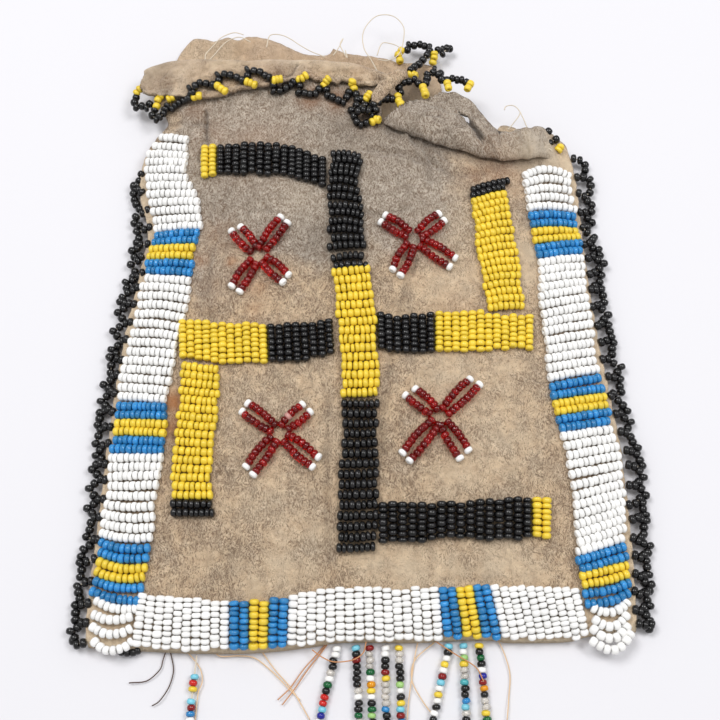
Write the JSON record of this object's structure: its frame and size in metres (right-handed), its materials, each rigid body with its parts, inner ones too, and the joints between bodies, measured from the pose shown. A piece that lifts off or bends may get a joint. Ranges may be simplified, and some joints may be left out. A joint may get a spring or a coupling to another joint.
{
  "type": "beaded bag",
  "caption": "Flat hide pouch with an open mouth, lane-stitched beadwork on its front, netted bead edgings, a folded rim cuff and bead strings at the hem.",
  "frame": {"origin": "middle of the back panel's underside, on the face that the bag lies on", "axes": "+Z out of the front, away from the surface the bag lies on; +Y from the hem to the mouth; +X to the right as the front is seen"},
  "size_m": [0.1357, 0.1965, 0.0143],
  "materials": {
    "hide": "brain-tanned hide, matt suede nap",
    "white_beads": "opaque glass seed beads, glossy",
    "black_beads": "opaque glass seed beads, glossy",
    "yellow_beads": "opaque glass seed beads, satin",
    "blue_beads": "translucent glass seed beads, with two yellow rows in the middle of each stripe",
    "red_beads": "translucent dark red glass seed beads",
    "sky_beads": "mixed glass seed beads on sinew, first one light blue",
    "green_beads": "mixed glass seed beads on sinew, mostly dark"
  },
  "bodies": {
    "pouch": {"back_panel": "hide", "back_rim_edging": "black_beads", "bottom_arm_black": "black_beads", "bottom_arm_tip_yellow": "yellow_beads", "corner_left": "white_beads", "corner_right": "white_beads", "cross_lower_left": "red_beads", "cross_lower_right": "red_beads", "cross_upper_left": "red_beads", "cross_upper_right": "red_beads", "crossbar_left_black": "black_beads", "crossbar_left_yellow": "yellow_beads", "crossbar_right_black": "black_beads", "crossbar_right_yellow": "yellow_beads", "edging_left": "black_beads", "edging_right": "black_beads", "flap_edging": "black_beads", "front_panel": "hide", "hem_band_stripe_left": "blue_beads", "hem_band_stripe_right": "blue_beads", "hem_band_white_left": "white_beads", "hem_band_white_middle": "white_beads", "hem_band_white_right": "white_beads", "left_arm_tip_black": "black_beads", "left_arm_yellow": "yellow_beads", "left_band_stripe_low": "blue_beads", "left_band_stripe_middle": "blue_beads", "left_band_stripe_top": "blue_beads", "left_band_white_low": "white_beads", "left_band_white_middle": "white_beads", "left_band_white_top": "white_beads", "right_arm_tip_black": "black_beads", "right_arm_yellow": "yellow_beads", "right_band_stripe_low": "blue_beads", "right_band_stripe_middle": "blue_beads", "right_band_stripe_top": "blue_beads", "right_band_white_low": "white_beads", "right_band_white_middle": "white_beads", "right_band_white_top": "white_beads", "top_arm_black": "black_beads", "top_arm_tip_yellow": "yellow_beads", "upright_bottom_black": "black_beads", "upright_top_black": "black_beads", "upright_yellow": "yellow_beads"},
    "cuff": {"rim_cuff": "hide", "cuff_edging": "black_beads"},
    "strand_1": {"strand_1": "sky_beads"},
    "strand_2": {"strand_2": "white_beads"},
    "strand_3": {"strand_3": "black_beads"},
    "strand_4": {"strand_4": "red_beads"},
    "strand_5": {"strand_5": "white_beads"},
    "strand_6": {"strand_6": "yellow_beads"},
    "strand_7": {"strand_7": "green_beads"},
    "strand_8": {"strand_8": "blue_beads"},
    "strand_9": {"strand_9": "black_beads"}
  },
  "joints": [
    {"name": "cuff_hinge", "type": "hinge", "parent": "pouch", "child": "cuff", "pos_m": [-0.05952, 0.076, 0.0049], "axis": [-0.9961, 0.0371, -0.08], "range_deg": [0, 120]},
    {"name": "strand_1_hinge", "type": "hinge", "parent": "pouch", "child": "strand_1", "pos_m": [-0.03739, -0.08014, 0.00105], "axis": [1, 0, 0], "range_deg": [-90, 90]},
    {"name": "strand_2_hinge", "type": "hinge", "parent": "pouch", "child": "strand_2", "pos_m": [-0.00527, -0.07797, 0.00105], "axis": [1, 0, 0], "range_deg": [-90, 90]},
    {"name": "strand_3_hinge", "type": "hinge", "parent": "pouch", "child": "strand_3", "pos_m": [-0.00112, -0.0778, 0.00105], "axis": [1, 0, 0], "range_deg": [-90, 90]},
    {"name": "strand_4_hinge", "type": "hinge", "parent": "pouch", "child": "strand_4", "pos_m": [0.00211, -0.0778, 0.00105], "axis": [1, 0, 0], "range_deg": [-90, 90]},
    {"name": "strand_5_hinge", "type": "hinge", "parent": "pouch", "child": "strand_5", "pos_m": [0.0057, -0.0778, 0.00105], "axis": [1, 0, 0], "range_deg": [-90, 90]},
    {"name": "strand_6_hinge", "type": "hinge", "parent": "pouch", "child": "strand_6", "pos_m": [0.00899, -0.0778, 0.00105], "axis": [1, 0, 0], "range_deg": [-90, 90]},
    {"name": "strand_7_hinge", "type": "hinge", "parent": "pouch", "child": "strand_7", "pos_m": [0.0204, -0.07743, 0.00105], "axis": [1, 0, 0], "range_deg": [-90, 90]},
    {"name": "strand_8_hinge", "type": "hinge", "parent": "pouch", "child": "strand_8", "pos_m": [0.02368, -0.07728, 0.00105], "axis": [1, 0, 0], "range_deg": [-90, 90]},
    {"name": "strand_9_hinge", "type": "hinge", "parent": "pouch", "child": "strand_9", "pos_m": [0.02734, -0.07728, 0.00105], "axis": [1, 0, 0], "range_deg": [-90, 90]}
  ]
}
